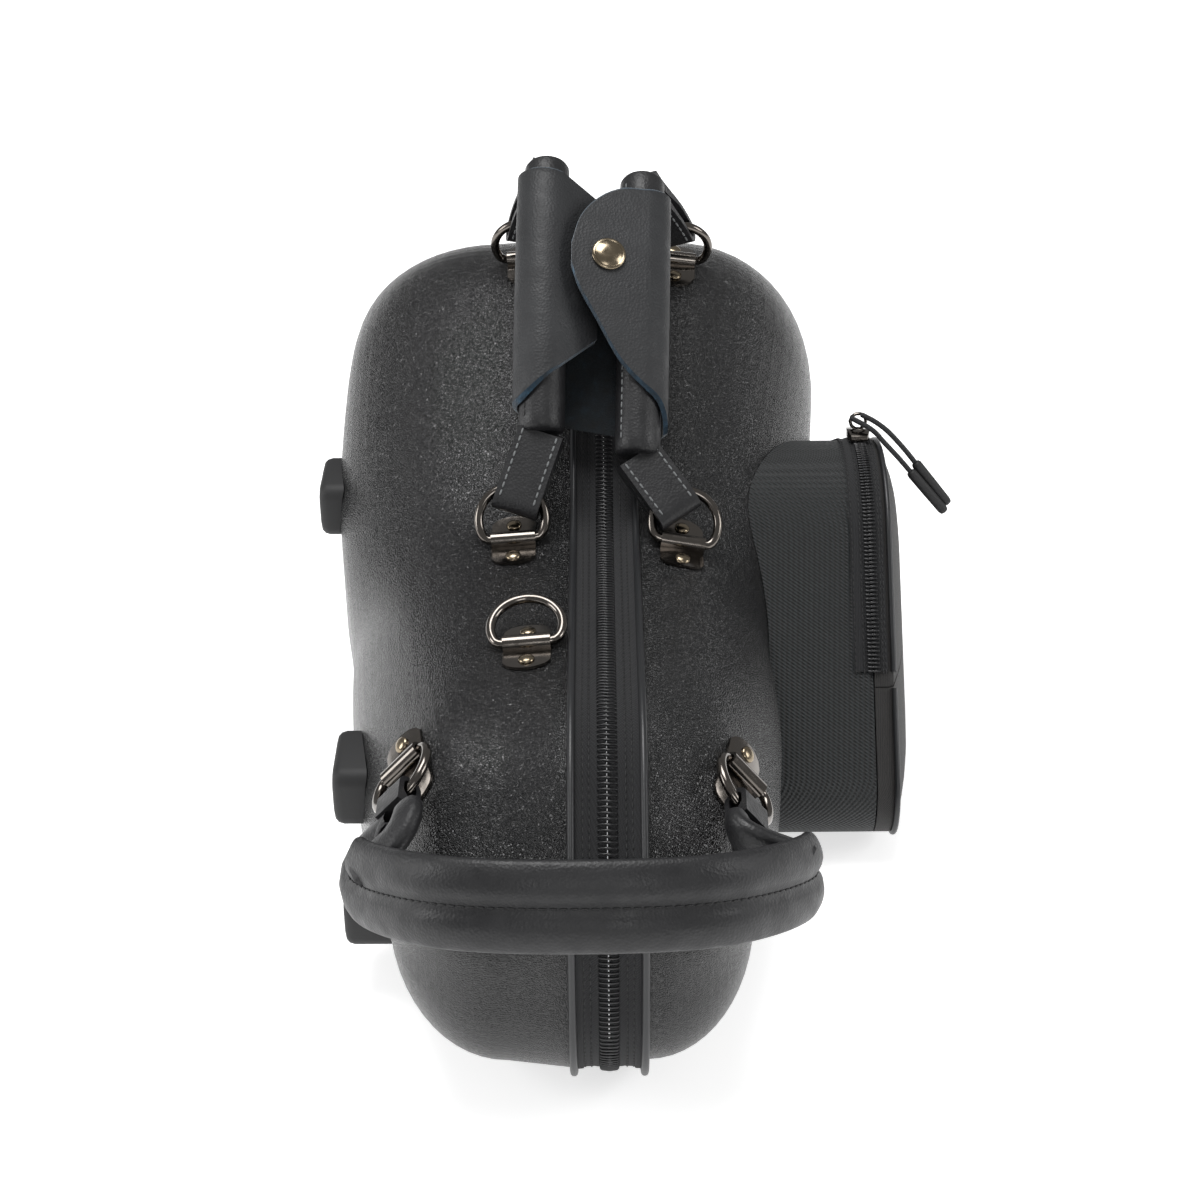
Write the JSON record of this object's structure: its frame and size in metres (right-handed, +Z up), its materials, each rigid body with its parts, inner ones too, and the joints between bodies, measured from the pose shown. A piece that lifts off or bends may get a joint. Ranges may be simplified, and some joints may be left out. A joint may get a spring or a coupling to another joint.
{
  "type": "alto saxophone case",
  "caption": "Contoured hard case for an alto saxophone: two moulded half shells closed by a coil zip, paired handles in a snapped wrap, an end handle and a side accessory pocket.",
  "frame": {"origin": "middle of the underside of the feet, below the centre of the bounding box measured without the zip pull's cord", "axes": "+Z up from the feet on the spine, +Y along the case from the narrow end to the bow end, +X through the thickness from the base half to the lid half with its pocket"},
  "size_m": [0.2926, 0.6764, 0.2646],
  "materials": {
    "shell": "satin pebbled",
    "foam": "plush over foam",
    "piping": "satin",
    "tape": "woven tape and coil",
    "nickel": "black nickel",
    "brass": "antique",
    "leather": "matte",
    "rubber": "matte",
    "nylon": "ballistic weave"
  },
  "bodies": {
    "base": {"base_shell": "shell", "base_liner": "foam", "base_zip_tape": "tape", "base_piping": "piping", "base_spine_hinge": "tape", "base_near_clamp": "nickel", "base_far_clamp": "nickel", "base_end_clamp": "nickel", "strap_clamp": "nickel", "base_spine_foot_far": "rubber", "base_spine_foot_near": "rubber", "side_foot_1": "rubber", "side_foot_2": "rubber", "side_foot_3": "rubber", "side_foot_4": "rubber", "side_foot_5": "rubber"},
    "lid": {"lid_shell": "shell", "lid_liner": "foam", "lid_zip_tape": "tape", "lid_piping": "piping", "lid_spine_hinge": "tape", "lid_near_clamp": "nickel", "lid_far_clamp": "nickel", "lid_end_clamp": "nickel", "lid_spine_foot_near": "rubber", "lid_spine_foot_far": "rubber", "pocket_gusset": "nylon", "pocket_back": "nylon", "pocket_lower_front": "nylon", "pocket_zip_fixed": "tape"},
    "pocket_flap_body": {"pocket_flap": "nylon", "pocket_zip_flap": "tape"},
    "pocket_slider_body": {"pocket_slider": "nickel"},
    "pull_cords": {"pull_cord_upper": "tape", "pull_cord_lower": "tape", "pull_sleeve_upper": "rubber", "pull_sleeve_lower": "rubber"},
    "main_slider_body": {"main_slider": "nickel"},
    "main_puller_body": {"main_puller": "nickel"},
    "base_near_ring_body": {"base_near_ring": "nickel"},
    "base_far_ring_body": {"base_far_ring": "nickel"},
    "lid_near_ring_body": {"lid_near_ring": "nickel"},
    "lid_far_ring_body": {"lid_far_ring": "nickel"},
    "base_end_ring_body": {"base_end_ring": "nickel"},
    "lid_end_ring_body": {"lid_end_ring": "nickel"},
    "strap_ring_body": {"strap_ring": "nickel"},
    "base_handle": {"base_grip": "leather", "base_near_tab": "leather", "base_far_tab": "leather", "handle_wrap": "leather"},
    "wrap_flap_body": {"wrap_flap": "leather", "snap_cap": "brass"},
    "lid_handle": {"lid_grip": "leather", "lid_near_tab": "leather", "lid_far_tab": "leather"},
    "end_handle_body": {"end_handle": "leather", "base_end_loop": "leather", "lid_end_loop": "leather"}
  },
  "joints": [
    {"name": "lid_hinge", "type": "hinge", "parent": "base", "child": "lid", "pos_m": [-0.00354, 0.0152, 0.004], "axis": [0, 1, 0], "range_deg": [0, 150], "deforming": ["lid_zip_tape"]},
    {"name": "base_near_ring_swing", "type": "hinge", "parent": "base", "child": "base_near_ring_body", "pos_m": [-0.04276, -0.08399, 0.1392], "axis": [0.9969, 0, 0.0783], "range_deg": [-8, 8]},
    {"name": "base_far_ring_swing", "type": "hinge", "parent": "base", "child": "base_far_ring_body", "pos_m": [-0.03873, 0.07042, 0.20307], "axis": [0.9973, 0, 0.0737], "range_deg": [-8, 8]},
    {"name": "lid_near_ring_swing", "type": "hinge", "parent": "lid", "child": "lid_near_ring_body", "pos_m": [0.03014, -0.08402, 0.13654], "axis": [0.9768, 0, -0.2142], "range_deg": [-8, 8]},
    {"name": "lid_far_ring_swing", "type": "hinge", "parent": "lid", "child": "lid_far_ring_body", "pos_m": [0.03079, 0.07041, 0.20199], "axis": [0.9918, 0, -0.1278], "range_deg": [-8, 8]},
    {"name": "base_end_ring_swing", "type": "hinge", "parent": "base", "child": "base_end_ring_body", "pos_m": [-0.08009, -0.23334, 0.12566], "axis": [0.8128, 0, 0.5826], "range_deg": [-6, 20]},
    {"name": "lid_end_ring_swing", "type": "hinge", "parent": "lid", "child": "lid_end_ring_body", "pos_m": [0.04873, -0.23352, 0.11775], "axis": [0.4852, 0, -0.8744], "range_deg": [-6, 20]},
    {"name": "strap_ring_swing", "type": "hinge", "parent": "base", "child": "strap_ring_body", "pos_m": [-0.0353, -0.17572, 0.14369], "axis": [0.9812, 0, 0.1928], "range_deg": [0, 130]},
    {"name": "base_handle_swing", "type": "hinge", "parent": "base", "child": "base_handle", "pos_m": [-0.03732, -0.00414, 0.19051], "axis": [0.0169, 0.8914, 0.4528], "range_deg": [-60, 0], "deforming": ["base_near_tab", "base_far_tab", "handle_wrap"]},
    {"name": "lid_handle_swing", "type": "hinge", "parent": "lid", "child": "lid_handle", "pos_m": [0.02487, -0.00468, 0.18703], "axis": [0.022, 0.8832, 0.4685], "range_deg": [0, 60], "deforming": ["lid_near_tab", "lid_far_tab"]},
    {"name": "wrap_flap_fold", "type": "hinge", "parent": "base_handle", "child": "wrap_flap_body", "pos_m": [0.0249, -0.0091, 0.20905], "axis": [0.0292, 0.7872, 0.6159], "range_deg": [0, 110], "deforming": ["wrap_flap"]},
    {"name": "end_handle_swing", "type": "hinge", "parent": "base", "child": "end_handle_body", "pos_m": [-0.01585, -0.25633, 0.12355], "axis": [0.9973, -0.0027, -0.0736], "range_deg": [-50, 25], "deforming": ["end_handle", "base_end_loop", "lid_end_loop"]},
    {"name": "pocket_flap_fold", "type": "hinge", "parent": "lid", "child": "pocket_flap_body", "pos_m": [0.13546, 0.0152, 0.072], "axis": [0, 1, 0], "range_deg": [0, 95]},
    {"name": "pocket_zip_run", "type": "hinge", "parent": "lid", "child": "pocket_slider_body", "pos_m": [0.11396, -0.01119, 0.07997], "axis": [1, 0, 0], "range_deg": [0, 58]},
    {"name": "pull_cord_swing", "type": "hinge", "parent": "pocket_slider_body", "child": "pull_cords", "pos_m": [0.11396, 0.00883, 0.14697], "axis": [0, 1, 0], "range_deg": [-25, 35], "deforming": ["pull_cord_upper", "pull_cord_lower", "pull_sleeve_upper", "pull_sleeve_lower"]},
    {"name": "main_zip_slide", "type": "slide", "parent": "base", "child": "main_slider_body", "axis": [0, 0, 1], "range_m": [0, 0.02]},
    {"name": "main_puller_swing", "type": "hinge", "parent": "main_slider_body", "child": "main_puller_body", "pos_m": [-0.00354, 0.3349, 0.0535], "axis": [1, 0, 0], "range_deg": [0, 165]}
  ]
}
